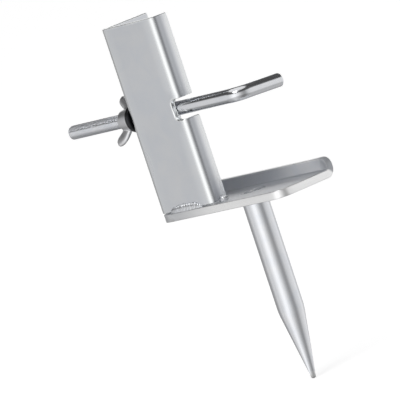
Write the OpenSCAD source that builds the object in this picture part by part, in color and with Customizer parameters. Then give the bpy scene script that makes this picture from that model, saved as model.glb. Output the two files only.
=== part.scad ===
// Ground spike with a clamp: a bent steel channel on a base plate with a point
// below it, and a hook bolt with a wing nut that holds a rectangular section.
// The origin is the middle of that section's end on the base plate, with X across
// its depth towards the hook, Y from the side wall to the rim, and Z up.

/* [Held section] */
// Depth of the section that the hook is set for
held_d = 76; // [60:1:90]
// Thickness of that section
held_t = 20; // [15:1:30]

/* [Clamp channel] */
// Thickness of the channel's sheet
sheet_t = 3; // [2:0.5:4]
// Inside radius of the channel's bends
bend_ri = 1; // [0.5:0.5:3]
// Width of the side wall, outside
wall_w = 44; // [38:1:60]
// Height of the channel
wall_h = 107; // [80:1:150]
// How far the bolt's slot reaches into the side wall past its bend
slot_in = 3.5; // [1:0.5:8]
// Corner radius of the bolt's slot
slot_r = 3; // [1:0.5:5]

/* [Base plate] */
// Length of the base plate
base_l = 100; // [95:1:140]
// Thickness of the base plate
base_t = 4.5; // [3:0.5:6]
// Ledge of the base plate outside the side wall
ledge = 2; // [2:0.5:6]
// Inside radius of the bend at the turned-up rim
rim_bend_ri = 1; // [1:0.5:8]
// Height of the rim's straight part above that bend
rim_up = 6; // [1:0.5:10]
// Corner radius of the base plate beside the wall
corner_r = 8; // [4:0.5:12]
// Corner radius of the rim's ends
rim_r = 5; // [2:0.5:6]

/* [Spike] */
// Spike axis from the web's outer face
spike_x = 56; // [35:1:75]
// Spike axis from the side wall's outer face
spike_y = 19.5; // [16:0.5:24]
// Diameter of the spike
spike_d = 15; // [13:1:20]
// Length of the spike's straight shank
shank_l = 64; // [40:1:120]
// Length of the spike's point
point_l = 40; // [25:1:60]
// Diameter of the blunted tip
tip_d = 2.5; // [1:0.5:4]
// Diameter of the spigot that goes through the plate
spigot_d = 11; // [8:0.5:12]
// Depth of the weld round the spigot
plug_h = 1.5; // [1:0.5:2.5]
// Width of the weld round the spigot
plug_w = 2.5; // [1.5:0.5:4]

/* [Welds] */
// Length of the bead along the side wall's foot
wall_bead_l = 26; // [15:1:34]
// Height of that bead
wall_bead_h = 4; // [2:0.5:6]
// Length of the tack at the lip's foot
lip_bead_l = 5.5; // [3:0.5:6]
// Leg of that tack
lip_bead_h = 3; // [2:0.5:5]
// Length of the bead across the web's foot
back_bead_l = 20; // [10:1:24]
// Height of that bead
back_bead_h = 5; // [3:0.5:7]
// How far that bead stands out
back_bead_out = 1.6; // [1:0.2:3]

/* [Hook bolt] */
// Diameter of the bolt
bolt_d = 8; // [6:1:10]
// Height of the bolt above the base plate
bolt_z = 55; // [40:1:75]
// Length of the bolt outside the web
bolt_out = 56; // [50:1:90]
// Inside radius of the hook's bend
hook_ri = 2; // [1:0.5:8]
// How far the hook reaches past the far side of the held section
hook_over = 8; // [5:1:20]
// Droop of the hook from level
hook_turn = 2.4; // [0:0.1:10]
// Chamfer at both ends of the bolt
bolt_chamfer = 0.8; // [0.4:0.1:1.5]

/* [Washer and wing nut] */
// Diameter of the washer
washer_d = 16; // [14:1:24]
// Thickness of the washer
washer_t = 2.5; // [1:0.1:3]
// Diameter of the wing nut's foot
nut_foot_d = 14; // [12.5:0.5:18]
// Diameter of the top of the wing nut's hub
nut_top_d = 11.5; // [11:0.5:15]
// Height of the wing nut's hub
nut_hub_h = 9; // [7:0.5:12]
// Span over the wings
wing_span = 30; // [26:1:40]
// Height of the wings' tips
wing_h = 14; // [13:1:22]
// Thickness of the wings
wing_t = 3; // [2:0.5:4]
// Radius of the wings' tips
wing_tip_r = 4; // [2:0.1:5]
// Height of the wings' root above the foot
wing_root_z = 1; // [0.5:0.5:3]
// Turn of the wings from upright, towards the rim
wing_turn = 28; // [0:1:90]

/* [Fits] */
// Gap from the bolt to the side wall, and from the bolt to the held section
bolt_side_gap = 0.2; // [0.1:0.1:1]
// Gap round the bolt in the web's hole
bolt_hole_gap = 0.5; // [0.2:0.1:1]
// Gap above and below the bolt in the lip's slot
slot_gap = 2; // [1:0.5:4]
// Gap round the bolt in the washer
washer_gap = 0.2; // [0.1:0.1:0.5]
// Gap between the bolt and the nut's thread
thread_gap = 0.05; // [0.05:0.01:0.1]
// Gap between faces that turn on each other
face_gap = 0.1; // [0.05:0.05:0.3]
// Gap round the spigot and its weld
spigot_gap = 0.05; // [0.02:0.01:0.2]
// Gap between the held section and the rim's bend
rim_gap = 4.6; // [0.2:0.1:8]
// Gap between the web's edge and the rim's bend
web_gap = 1; // [0.5:0.5:3]
// Root gap under the channel, which the welds bridge
root_gap = 0.5; // [0.2:0.1:1]

/* [Hidden] */
$fn = 64;

steel = [0.74, 0.75, 0.77];
bright_steel = [0.82, 0.83, 0.86];
weld_steel = [0.66, 0.67, 0.70];
black_steel = [0.06, 0.06, 0.065];

// Overshoot of a cutting solid
cut = 1;
// Outside radius of the channel's bends
sheet_ro = sheet_t + bend_ri;
// Outside radius of the base plate's bend
base_ro = base_t + rim_bend_ri;
// The lip reaches the held section and leaves room for the bolt beside it
lip_d = sheet_t + bolt_d + 2 * bolt_side_gap;
// Bolt axis from the side wall's outer face
bolt_y = sheet_t + bolt_side_gap + bolt_d / 2;
// Height of the slot in the lip
slot_h = bolt_d + 2 * slot_gap;
// Rim: start of its bend, its inner and outer faces, and its height above the plate
bend_y = lip_d + held_t + rim_gap;
rim_y = bend_y + rim_bend_ri;
base_far = rim_y + base_t;
rim_h = rim_bend_ri + rim_up;
// Free edge of the web
web_w = bend_y - web_gap;
// Outside of the weld round the spigot
plug_d = spigot_d + 2 * plug_w;
// Hook: centre line of its cross leg and of its bend, and the leg's end
hook_x = sheet_t + held_d + bolt_d / 2;
hook_r = hook_ri + bolt_d / 2;
hook_end = lip_d + held_t + hook_over;
// Foot of the wing nut, outside the washer
nut_foot = washer_t + 2 * face_gap;
// Lower edge of the wings where it meets the rounded tip, in degrees
wing_slope = -20;
// Toe of the wall bead, and the bend in its skin, as shares of ledge and height
wall_bead_toe = 0.9;
wall_bead_bend = [0.75, 1 / 3];
// Bend in the skin of the lip's tack, as shares of its leg
lip_bead_bend = [0.7, 0.6];
// Tapered part at each edge of the back bead, as a share of its height
back_bead_taper = 0.2;

// Moves the working corner, at the outer faces of web and wall, to its place
module from_corner() {
    translate([-sheet_t - held_d / 2, -lip_d - held_t / 2, 0]) children();
}

// Stands a solid on the bolt's axis, its Z pointing out of the web
module on_bolt_axis() {
    from_corner() translate([0, bolt_y, bolt_z]) rotate([0, -90, 0]) children();
}

// Quarter of a bend, with its centre at the origin and its sheet at -X and -Y
module bend_2d(ro, ri) {
    intersection() {
        difference() {
            circle(ro);
            circle(ri);
        }
        translate([-ro - cut, -ro - cut]) square(ro + cut);
    }
}

// What is left of a square corner outside its rounding
module corner_2d(r) {
    difference() {
        translate([-r - cut, -r - cut]) square(r + cut);
        circle(r);
    }
}

// Section of the channel: web, side wall and lip, bent from one sheet
module channel_2d() {
    translate([0, sheet_ro]) square([sheet_t, web_w - sheet_ro]);
    translate([sheet_ro, sheet_ro]) bend_2d(sheet_ro, bend_ri);
    translate([sheet_ro, 0]) square([wall_w - 2 * sheet_ro, sheet_t]);
    translate([wall_w - sheet_ro, sheet_ro]) mirror([1, 0]) bend_2d(sheet_ro, bend_ri);
    translate([wall_w - sheet_t, sheet_ro]) square([sheet_t, lip_d - sheet_ro]);
}

// Slot in the lip and the wall's edge, seen from outside the wall
module slot_2d() {
    x0 = wall_w - sheet_ro - slot_in;
    z0 = bolt_z - slot_h / 2;
    z1 = bolt_z + slot_h / 2;
    for (z = [z0 + slot_r, z1 - slot_r]) translate([x0 + slot_r, z]) circle(slot_r);
    translate([x0, z0 + slot_r]) square([slot_r, slot_h - 2 * slot_r]);
    translate([x0 + slot_r, z0]) square([wall_w - x0, slot_h]);
}

module clamp_channel() {
    color(steel) from_corner() difference() {
        translate([0, 0, root_gap]) linear_extrude(wall_h) channel_2d();
        translate([0, lip_d + cut, 0]) rotate([90, 0, 0])
            linear_extrude(lip_d + 2 * cut) slot_2d();
        translate([-cut, bolt_y, bolt_z]) rotate([0, 90, 0])
            cylinder(r = bolt_d / 2 + bolt_hole_gap, h = sheet_t + 2 * cut);
    }
}

// Section of the base plate across its length: ledge, plate, bend and rim
module base_2d() {
    translate([-ledge, -base_t]) square([base_far - base_ro + ledge, base_t]);
    translate([base_far - base_ro, base_ro - base_t]) mirror([1, 0]) bend_2d(base_ro, rim_bend_ri);
    translate([rim_y, base_ro - base_t]) square([base_t, rim_h - base_ro + base_t]);
}

module base_plate() {
    color(steel) from_corner() difference() {
        rotate([90, 0, 90]) linear_extrude(base_l) base_2d();
        translate([corner_r, corner_r - ledge, -base_t - cut])
            linear_extrude(base_t + 2 * cut) corner_2d(corner_r);
        translate([base_l - corner_r, corner_r - ledge, -base_t - cut])
            linear_extrude(base_t + 2 * cut) mirror([1, 0]) corner_2d(corner_r);
        translate([rim_r, base_far + cut, rim_h - rim_r]) rotate([90, 0, 0])
            linear_extrude(base_ro + 2 * cut) mirror([0, 1]) corner_2d(rim_r);
        translate([base_l - rim_r, base_far + cut, rim_h - rim_r]) rotate([90, 0, 0])
            linear_extrude(base_ro + 2 * cut) mirror([1, 0]) mirror([0, 1]) corner_2d(rim_r);
        translate([spike_x, spike_y, -base_t - cut])
            cylinder(r = spigot_d / 2 + spigot_gap, h = base_t + 2 * cut);
        translate([spike_x, spike_y, -plug_h]) cylinder(d = plug_d, h = plug_h + cut);
    }
}

// Fillet bead on the ledge, in the middle of the side wall's foot
module wall_weld() {
    color(weld_steel) from_corner()
        translate([wall_w / 2 - wall_bead_l / 2, 0, 0]) rotate([90, 0, 90])
            linear_extrude(wall_bead_l)
                polygon([[0, 0], [0, wall_bead_h],
                         [-wall_bead_bend[0] * ledge, wall_bead_bend[1] * wall_bead_h],
                         [-wall_bead_toe * ledge, 0]]);
}

// Short tack between the lip's face and the plate
module lip_weld() {
    color(weld_steel) from_corner() translate([wall_w, lip_d - root_gap, 0]) rotate([90, 0, 0])
        linear_extrude(lip_bead_l)
            polygon([[0, 0], [lip_bead_h, 0], lip_bead_bend * lip_bead_h, [0, lip_bead_h]]);
}

// Bead over the seam between the web's foot and the plate's end
module back_weld() {
    low = root_gap / 2 - back_bead_h / 2;
    high = root_gap / 2 + back_bead_h / 2;
    shoulder = back_bead_taper * back_bead_h;
    color(weld_steel) from_corner()
        translate([0, (web_w + back_bead_l) / 2, 0]) rotate([90, 0, 0])
            linear_extrude(back_bead_l)
                polygon([[0, low], [0, high], [-back_bead_out, high - shoulder],
                         [-back_bead_out, low + shoulder]]);
}

// Turned point with a shoulder under the plate and a spigot up through it
module spike() {
    shoulder_z = -base_t;
    cone_z = shoulder_z - shank_l;
    color(bright_steel) from_corner() translate([spike_x, spike_y, 0])
        rotate_extrude() polygon([
            [0, 0], [spigot_d / 2, 0], [spigot_d / 2, shoulder_z], [spike_d / 2, shoulder_z],
            [spike_d / 2, cone_z], [tip_d / 2, cone_z - point_l], [0, cone_z - point_l]]);
}

// Weld run round the spigot, ground flush with the plate
module spike_weld() {
    color(weld_steel) from_corner() translate([spike_x, spike_y, -plug_h]) difference() {
        cylinder(r = plug_d / 2 - spigot_gap, h = plug_h);
        translate([0, 0, -cut]) cylinder(r = spigot_d / 2 + spigot_gap, h = plug_h + 2 * cut);
    }
}

// Round bar of the bolt with a chamfered end, from the origin up Z
module bolt_end(len) {
    cylinder(d = bolt_d, h = len - bolt_chamfer);
    translate([0, 0, len - bolt_chamfer])
        cylinder(d1 = bolt_d, d2 = bolt_d - 2 * bolt_chamfer, h = bolt_chamfer);
}

// Bolt bent to an L: straight leg and cross leg
module hook_bolt() {
    color(bright_steel) from_corner() translate([0, bolt_y, bolt_z]) rotate([-hook_turn, 0, 0]) {
        translate([hook_x - hook_r, 0, 0]) rotate([0, -90, 0])
            bolt_end(bolt_out + hook_x - hook_r);
        translate([hook_x - hook_r, hook_r, 0]) rotate([0, 0, -90])
            rotate_extrude(angle = 90) translate([hook_r, 0]) circle(d = bolt_d);
        translate([hook_x, hook_r, 0]) rotate([-90, 0, 0])
            bolt_end(hook_end - bolt_y - hook_r);
    }
}

module washer() {
    color(black_steel) on_bolt_axis() translate([0, 0, face_gap]) difference() {
        cylinder(d = washer_d, h = washer_t);
        translate([0, 0, -cut]) cylinder(r = bolt_d / 2 + washer_gap, h = washer_t + 2 * cut);
    }
}

// Outline of one wing beside the hub, X outwards and Y up the hub
module wing_2d() {
    tip = [wing_span / 2 - wing_tip_r, wing_h - wing_tip_r];
    root_x = bolt_d / 2 + 2 * thread_gap;
    outwards = [cos(wing_slope), sin(wing_slope)];
    translate(tip) circle(wing_tip_r);
    polygon([[root_x, wing_root_z], [nut_foot_d / 2, wing_root_z], tip + wing_tip_r * outwards,
             tip - wing_tip_r * outwards, [nut_top_d / 2, nut_hub_h], [root_x, nut_hub_h]]);
}

module wing_nut() {
    color(bright_steel) on_bolt_axis() translate([0, 0, nut_foot]) rotate([0, 0, wing_turn])
        difference() {
            union() {
                cylinder(d1 = nut_foot_d, d2 = nut_top_d, h = nut_hub_h);
                for (turn = [0, 180]) rotate([0, 0, turn])
                    translate([0, wing_t / 2, 0]) rotate([90, 0, 0])
                        linear_extrude(wing_t) wing_2d();
            }
            translate([0, 0, -cut])
                cylinder(r = bolt_d / 2 + thread_gap, h = nut_hub_h + 2 * cut);
        }
}

clamp_channel();
base_plate();
wall_weld();
lip_weld();
back_weld();
spike();
spike_weld();
hook_bolt();
washer();
wing_nut();
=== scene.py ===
import math

import bmesh
import bpy
import numpy as np
from mathutils import Matrix, Vector
from mathutils.geometry import delaunay_2d_cdt


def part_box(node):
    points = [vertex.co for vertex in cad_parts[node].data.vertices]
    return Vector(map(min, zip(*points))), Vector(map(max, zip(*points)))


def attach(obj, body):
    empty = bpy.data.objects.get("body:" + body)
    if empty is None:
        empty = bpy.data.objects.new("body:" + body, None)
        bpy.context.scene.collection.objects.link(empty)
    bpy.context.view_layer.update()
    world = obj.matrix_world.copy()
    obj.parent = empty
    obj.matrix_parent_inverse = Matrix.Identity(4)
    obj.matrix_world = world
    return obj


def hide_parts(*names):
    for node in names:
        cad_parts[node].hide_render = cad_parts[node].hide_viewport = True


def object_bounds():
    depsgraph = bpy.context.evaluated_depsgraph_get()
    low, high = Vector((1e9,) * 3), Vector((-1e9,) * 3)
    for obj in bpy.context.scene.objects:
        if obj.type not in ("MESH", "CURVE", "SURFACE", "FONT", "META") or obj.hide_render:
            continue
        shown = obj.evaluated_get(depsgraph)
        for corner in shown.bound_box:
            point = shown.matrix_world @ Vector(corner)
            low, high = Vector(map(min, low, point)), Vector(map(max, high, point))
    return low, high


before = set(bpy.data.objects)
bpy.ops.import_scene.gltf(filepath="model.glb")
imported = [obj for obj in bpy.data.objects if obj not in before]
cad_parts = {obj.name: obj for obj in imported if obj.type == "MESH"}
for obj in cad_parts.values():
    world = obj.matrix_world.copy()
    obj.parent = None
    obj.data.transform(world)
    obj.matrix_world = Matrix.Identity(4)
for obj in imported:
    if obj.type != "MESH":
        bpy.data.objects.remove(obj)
cad_low, cad_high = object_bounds()
mm = 0.001
scene = bpy.context.scene

# Camera. It looks at the bracket from the hook's side, a little above the bolt,
# through a long lens from 3.7 m away. The picture leans, so that the spike points
# down to the right.
view_azimuth = math.radians(47.95)
view_elevation = math.radians(5.43)
view_lean = math.radians(18.33)
view_distance = 3.66
view_centre = Vector((-23.5, -5.8, 1.7)) * mm
picture_span = 220 * mm

view_back = Vector((math.sin(view_azimuth) * math.cos(view_elevation),
                    -math.cos(view_azimuth) * math.cos(view_elevation),
                    math.sin(view_elevation)))
level_right = Vector((0, 0, 1)).cross(view_back).normalized()
level_up = view_back.cross(level_right)
camera_up = level_up * math.cos(view_lean) + level_right * math.sin(view_lean)
camera_right = camera_up.cross(view_back)
camera = bpy.data.objects.new("camera", bpy.data.cameras.new("camera"))
camera.data.lens = camera.data.sensor_width * view_distance / picture_span
camera.matrix_world = Matrix.Translation(view_centre + view_back * view_distance) @ Matrix(
    (camera_right, camera_up, view_back)).transposed().to_4x4()
scene.collection.objects.link(camera)
scene.camera = camera
scene.view_settings.view_transform = "Standard"

# Studio. A pale tent with broad bright and dim walls, so that round bars show the
# light and dark stripes of plated metal. Above the walls it is dim up to the
# ceiling. A soft lamp high at the front gives the shadow.


def add_node(tree, kind, inputs=None, **settings):
    """A new node with its settings, and with its inputs linked or set."""
    node = tree.nodes.new(kind)
    for name, value in settings.items():
        setattr(node, name, value)
    for name, value in (inputs or {}).items():
        if isinstance(value, bpy.types.NodeSocket):
            tree.links.new(value, node.inputs[name])
        else:
            node.inputs[name].default_value = value
    return node


def calc(tree, operation, *values, clamp=False):
    """The result of one math node."""
    kind = "ShaderNodeMath"
    return add_node(tree, kind, dict(enumerate(values)), operation=operation, use_clamp=clamp).outputs[0]


def axes_of(tree, vector):
    """A vector's X, Y and Z."""
    return add_node(tree, "ShaderNodeSeparateXYZ", {0: vector}).outputs


def ramp(tree, value, low, high, first=0.0, last=1.0):
    """A smooth step from first to last, while a value goes from low to high."""
    return add_node(tree, "ShaderNodeMapRange", {0: value, 1: low, 2: high, 3: first, 4: last},
                    interpolation_type="SMOOTHSTEP").outputs[0]


def noise(tree, space="3D", **inputs):
    """The value of one noise node."""
    return add_node(tree, "ShaderNodeTexNoise", inputs, noise_dimensions=space).outputs[0]


def new_group(name, inputs, outputs):
    """An empty shader group with named inputs and outputs, and its two end nodes. An input
    without a value is a vector. All others, and the outputs, are numbers."""
    group = bpy.data.node_groups.new(name, "ShaderNodeTree")
    for socket, value in inputs:
        kind = "NodeSocketVector" if value is None else "NodeSocketFloat"
        made = group.interface.new_socket(socket, in_out="INPUT", socket_type=kind)
        if value is not None:
            made.default_value = value
    for socket in outputs:
        group.interface.new_socket(socket, in_out="OUTPUT", socket_type="NodeSocketFloat")
    return group, add_node(group, "NodeGroupInput").outputs, add_node(group, "NodeGroupOutput")


# Brightness of the tent's walls at each bearing, in degrees from the row's X axis.
wall_levels = [(-165, 0.40), (-157, 0.44), (-150, 0.56), (-145, 0.62), (-138, 0.77), (-119, 0.77),
               (-105, 0.88), (-91, 1.05), (-72, 1.24), (-54, 1.04), (-42, 0.84), (-30, 0.61),
               (-18, 0.44), (-8, 0.37), (7, 0.52), (21, 0.73), (35, 0.81), (52, 0.89), (70, 0.96),
               (90, 0.70), (110, 0.73), (138, 1.02), (160, 0.40)]
# A curve holds values up to 1, so it is given the levels divided by this.
curve_scale = 2.0
# Heights, as the sine of the angle above level, over which the dim zone and the ceiling set in.
dim_from, dim_to = 0.32, 0.46
ceiling_from, ceiling_to = 0.79, 0.85
dim_level = 0.08
ceiling_level = 0.90

walls, given, result = new_group("tent_walls", [("Direction", None)], ["Level"])
wall_axes = axes_of(walls, given["Direction"])
bearing = calc(walls, "ARCTAN2", wall_axes[1], wall_axes[0])
around = calc(walls, "MULTIPLY_ADD", bearing, 1 / (2 * math.pi), 0.5)
curve = add_node(walls, "ShaderNodeFloatCurve", {"Value": around})
line = curve.mapping.curves[0]
line.points[0].location = (0.0, wall_levels[0][1] / curve_scale)
line.points[1].location = (1.0, wall_levels[-1][1] / curve_scale)
for degrees, level in wall_levels:
    line.points.new((degrees + 180) / 360, level / curve_scale)
curve.mapping.update()
walls.links.new(calc(walls, "MULTIPLY", curve.outputs[0], curve_scale), result.inputs["Level"])

world = bpy.data.worlds.new("studio")
world.use_nodes = True
scene.world = world
room = world.node_tree
room.nodes.clear()
ray = add_node(room, "ShaderNodeTexCoord").outputs["Generated"]
up = axes_of(room, ray)[2]
level = add_node(room, "ShaderNodeGroup", {"Direction": ray}, node_tree=walls).outputs[0]
for low, high, zone in ((dim_from, dim_to, dim_level), (ceiling_from, ceiling_to, ceiling_level)):
    level = add_node(room, "ShaderNodeMix", {0: ramp(room, up, low, high), 2: level, 3: zone}).outputs[0]
background = add_node(room, "ShaderNodeBackground", {0: (1, 1, 1, 1), 1: level})
add_node(room, "ShaderNodeOutputWorld", {0: background.outputs[0]})

key_size = 1.2
key_power = 16
key_from = Vector((0.9, -1.9, 2.2))
key_light = bpy.data.lights.new("key", "AREA")
key_light.size = key_size
key_light.energy = key_power
key = bpy.data.objects.new("key", key_light)
key_turn = (-key_from).to_track_quat("-Z", "Y").to_matrix().to_4x4()
key.matrix_world = Matrix.Translation(key_from) @ key_turn
scene.collection.objects.link(key)

# Floor. A matt white sheet that the spike's tip just touches. It takes the shadow
# and reads as white to the camera. In the metal it shows the tent's walls, and right
# under the object a dimmer patch, a painted shade.
floor_size = 40
floor_gap = 0.1 * mm
floor_white = 0.86
floor_glow = 0.60
near_level = 0.60
# Steepness of a mirrored ray, as a sine, over which the dimmer patch sets in.
near_from, near_to = 0.42, 0.58

floor_mesh = bpy.data.meshes.new("floor")
floor_half = floor_size / 2
floor_z = cad_low[2] - floor_gap
floor_corners = ((-floor_half, -floor_half), (floor_half, -floor_half),
                 (floor_half, floor_half), (-floor_half, floor_half))
floor_mesh.from_pydata([(x, y, floor_z) for x, y in floor_corners], [], [(0, 1, 2, 3)])
floor = bpy.data.objects.new("floor", floor_mesh)
scene.collection.objects.link(floor)
floor_paint = bpy.data.materials.new("floor")
floor_paint.use_nodes = True
paint = floor_paint.node_tree
paint.nodes.clear()
matt = add_node(paint, "ShaderNodeBsdfDiffuse", {0: (floor_white,) * 3 + (1,)})
kinds = add_node(paint, "ShaderNodeLightPath").outputs
seen_glow = calc(paint, "MULTIPLY", kinds["Is Camera Ray"], floor_glow)
glow = add_node(paint, "ShaderNodeEmission", {0: (1, 1, 1, 1), 1: seen_glow})
direct = add_node(paint, "ShaderNodeAddShader", {0: matt.outputs[0], 1: glow.outputs[0]})
spot = add_node(paint, "ShaderNodeTexCoord").outputs["Object"]
shown = add_node(paint, "ShaderNodeGroup", {"Direction": spot}, node_tree=walls).outputs[0]
steep = axes_of(paint, add_node(paint, "ShaderNodeNewGeometry").outputs["Incoming"])[2]
near = ramp(paint, steep, near_from, near_to, 1.0, near_level)
mirrored_level = calc(paint, "MULTIPLY", shown, near)
mirrored = add_node(paint, "ShaderNodeEmission", {0: (1, 1, 1, 1), 1: mirrored_level})
in_metal = calc(paint, "ADD", kinds["Is Glossy Ray"], kinds["Is Transmission Ray"], clamp=True)
both = add_node(paint, "ShaderNodeMixShader", {0: in_metal, 1: direct.outputs[0], 2: mirrored.outputs[0]})
add_node(paint, "ShaderNodeOutputMaterial", {0: both.outputs[0]})
floor_mesh.materials.append(floor_paint)

# Plating. Zinc lies in faint clouds a few millimetres wide, over a fine crystal
# grain, with a few hair scratches.
tint_share = 0.37
scratch_turns = (((0.3, 0.2, 0.5), (900, 24, 900)), ((0.9, 1.1, -0.4), (26, 1100, 800)))
scratch_from, scratch_to = 0.70, 0.76
cloud_rise = 0.35
crystal_rise = 0.5
scratch_sink = 0.9

plating, given, result = new_group(
    "zinc_plating",
    [("Place", None), ("Cloud Size", 9 * mm), ("Grain Size", 0.22 * mm), ("Scratches", 0.5)],
    ["Cloud", "Tint", "Scratch", "Height"])
cloud_scale = calc(plating, "DIVIDE", 1.0, given["Cloud Size"])
cloud = noise(plating, Vector=given["Place"], Scale=cloud_scale, Detail=5.0, Roughness=0.62, Distortion=0.6)
tint_scale = calc(plating, "MULTIPLY", cloud_scale, tint_share)
tint = noise(plating, "4D", Vector=given["Place"], Scale=tint_scale, Detail=2.0)
grain_scale = calc(plating, "DIVIDE", 1.0, given["Grain Size"])
crystal = add_node(plating, "ShaderNodeTexVoronoi", {"Vector": given["Place"], "Scale": grain_scale},
                   feature="F1").outputs["Distance"]
scratch_sum = None
for turn, stretch in scratch_turns:
    laid = add_node(plating, "ShaderNodeMapping",
                    {"Vector": given["Place"], "Rotation": turn, "Scale": stretch},
                    vector_type="POINT").outputs[0]
    line = noise(plating, Vector=laid, Scale=1.0, Detail=1.0)
    thin = ramp(plating, line, scratch_from, scratch_to)
    scratch_sum = thin if scratch_sum is None else calc(plating, "MAXIMUM", scratch_sum, thin)
scratch = calc(plating, "MULTIPLY", scratch_sum, given["Scratches"])
rise = calc(plating, "MULTIPLY_ADD", cloud, cloud_rise, calc(plating, "MULTIPLY", crystal, crystal_rise))
rise = calc(plating, "SUBTRACT", rise, calc(plating, "MULTIPLY", scratch, scratch_sink))
for socket, value in (("Cloud", cloud), ("Tint", tint), ("Scratch", scratch), ("Height", rise)):
    plating.links.new(value, result.inputs[socket])

# Wear. Where the mesh says that an edge is near, the zinc is rubbed brighter and
# smoother, in patches.
patch_swing = 0.9
worn_from, worn_to = 0.35, 0.85

wear, given, result = new_group(
    "rubbed_edge", [("Place", None), ("Edge", 0.0), ("Patch Size", 2.5 * mm)], ["Mask"])
patch_scale = calc(wear, "DIVIDE", 1.0, given["Patch Size"])
patch = noise(wear, Vector=given["Place"], Scale=patch_scale, Detail=3.0)
reach = calc(wear, "ADD", given["Edge"], calc(wear, "MULTIPLY_ADD", patch, patch_swing, -patch_swing / 2))
mask = ramp(wear, reach, worn_from, worn_to)
wear.links.new(calc(wear, "MULTIPLY", mask, given["Edge"], clamp=True), result.inputs["Mask"])


# Finish. Shares of a piece's tone in cool and warm clouds, where it is rubbed bright
# and under a painted highlight, and where it is dull and under a painted shade, and what
# clouds, wear and scratches do to its roughness.
cool_share = 0.965
warm_shares = (1.035, 1.015, 0.985)
bright_share = 1.32
bright_limit = 0.94
shade_and_dull_share = 0.72
bend_shine = 0.75
cloud_low, cloud_high = 0.3, 0.7
tint_roughness = 0.16
shine_roughness = -0.10
scratch_roughness = 0.10
line_wander = 0.4 * mm


def mixed(tree, share, first, second):
    """One colour mixed with another."""
    return add_node(tree, "ShaderNodeMix", {0: share, 6: first, 7: second}, data_type="RGBA").outputs[2]


def plated_steel(name, tone, roughness, bump=14e-6, cloud_size=9 * mm, scratches=0.5, lines=None,
                 dull_matt=0.0):
    """Plated steel, or near-black steel. Edge and bend values painted on the mesh make it brighter
    there; the bend values also carry a painted highlight beside the channel lip's edge.
    Shade-and-dull values make it darker and, by dull_matt, rougher: they carry painted shade on
    the channel's lip and on the plate's ledge and near edge, and the dull cut face of the rim's end.
    lines holds the row axis of turning or rolling marks, their spacing and their depth."""
    steel = bpy.data.materials.new(name)
    steel.use_nodes = True
    tree = steel.node_tree
    shader = tree.nodes["Principled BSDF"]
    shader.inputs["Metallic"].default_value = 1.0
    place = add_node(tree, "ShaderNodeTexCoord").outputs["Object"]
    coat = add_node(tree, "ShaderNodeGroup", node_tree=plating)
    for socket, value in (("Cloud Size", cloud_size), ("Scratches", scratches)):
        coat.inputs[socket].default_value = value
    tree.links.new(place, coat.inputs["Place"])
    painted = [add_node(tree, "ShaderNodeAttribute", attribute_name=kind).outputs["Fac"]
               for kind in ("edge", "bend", "shade_and_dull")]
    rubbed = add_node(tree, "ShaderNodeGroup", node_tree=wear)
    tree.links.new(place, rubbed.inputs["Place"])
    tree.links.new(painted[0], rubbed.inputs["Edge"])
    worn = rubbed.outputs["Mask"]
    cool = Vector(tone) * cool_share
    warm = Vector([value * share for value, share in zip(tone, warm_shares)])
    bright = Vector([min(bright_limit, value * bright_share) for value in tone])
    dimmed = [value * shade_and_dull_share for value in tone]
    coat_tone = add_node(tree, "ShaderNodeMapRange",
                         {0: coat.outputs["Cloud"], 1: cloud_low, 2: cloud_high}).outputs[0]
    colour = mixed(tree, coat_tone, (*cool, 1), (*warm, 1))
    # Shine: rubbed edges, stretched bends and a painted highlight beside the channel lip's edge.
    shine = calc(tree, "MAXIMUM", worn, calc(tree, "MULTIPLY", painted[1], bend_shine))
    colour = mixed(tree, shine, colour, (*bright, 1))
    # Darkening: painted shade on the channel's lip and on the plate's ledge and near edge, and the dull cut
    # face at the rim's end.
    colour = mixed(tree, painted[2], colour, (*dimmed, 1))
    tree.links.new(colour, shader.inputs["Base Color"])
    rough = calc(tree, "MULTIPLY_ADD", coat.outputs["Tint"], tint_roughness, roughness - tint_roughness / 2)
    rough = calc(tree, "MULTIPLY_ADD", shine, shine_roughness, rough)
    rough = calc(tree, "MULTIPLY_ADD", painted[2], dull_matt, rough)
    rough = calc(tree, "MULTIPLY_ADD", coat.outputs["Scratch"], scratch_roughness, rough, clamp=True)
    tree.links.new(rough, shader.inputs["Roughness"])
    rise = coat.outputs["Height"]
    if lines:
        axis, spacing, depth = lines
        along = axes_of(tree, place)[axis]
        wander = calc(tree, "MULTIPLY_ADD", coat.outputs["Tint"], line_wander, along)
        marks = noise(tree, "1D", W=wander, Scale=1 / spacing, Detail=3.0)
        rise = calc(tree, "MULTIPLY_ADD", marks, depth, rise)
    bumped = add_node(tree, "ShaderNodeBump",
                      {"Height": rise, "Distance": bump, "Strength": 1.0}).outputs[0]
    tree.links.new(bumped, shader.inputs["Normal"])
    return steel


# Making pieces. Sheet parts are drawn flat with rounded edges and then bent, and
# round parts are turned from a profile.
edge_round = 0.35 * mm
edge_worn = 1.6 * mm
sharp_angle = math.radians(32)
clear = 1 * mm
bend_columns = 10
# Smooth stretch at a bend: its reach beside the bend's middle, as a share of the bend, and its gain.
stretch_reach = 0.62
stretch_gain = 2.2


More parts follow.
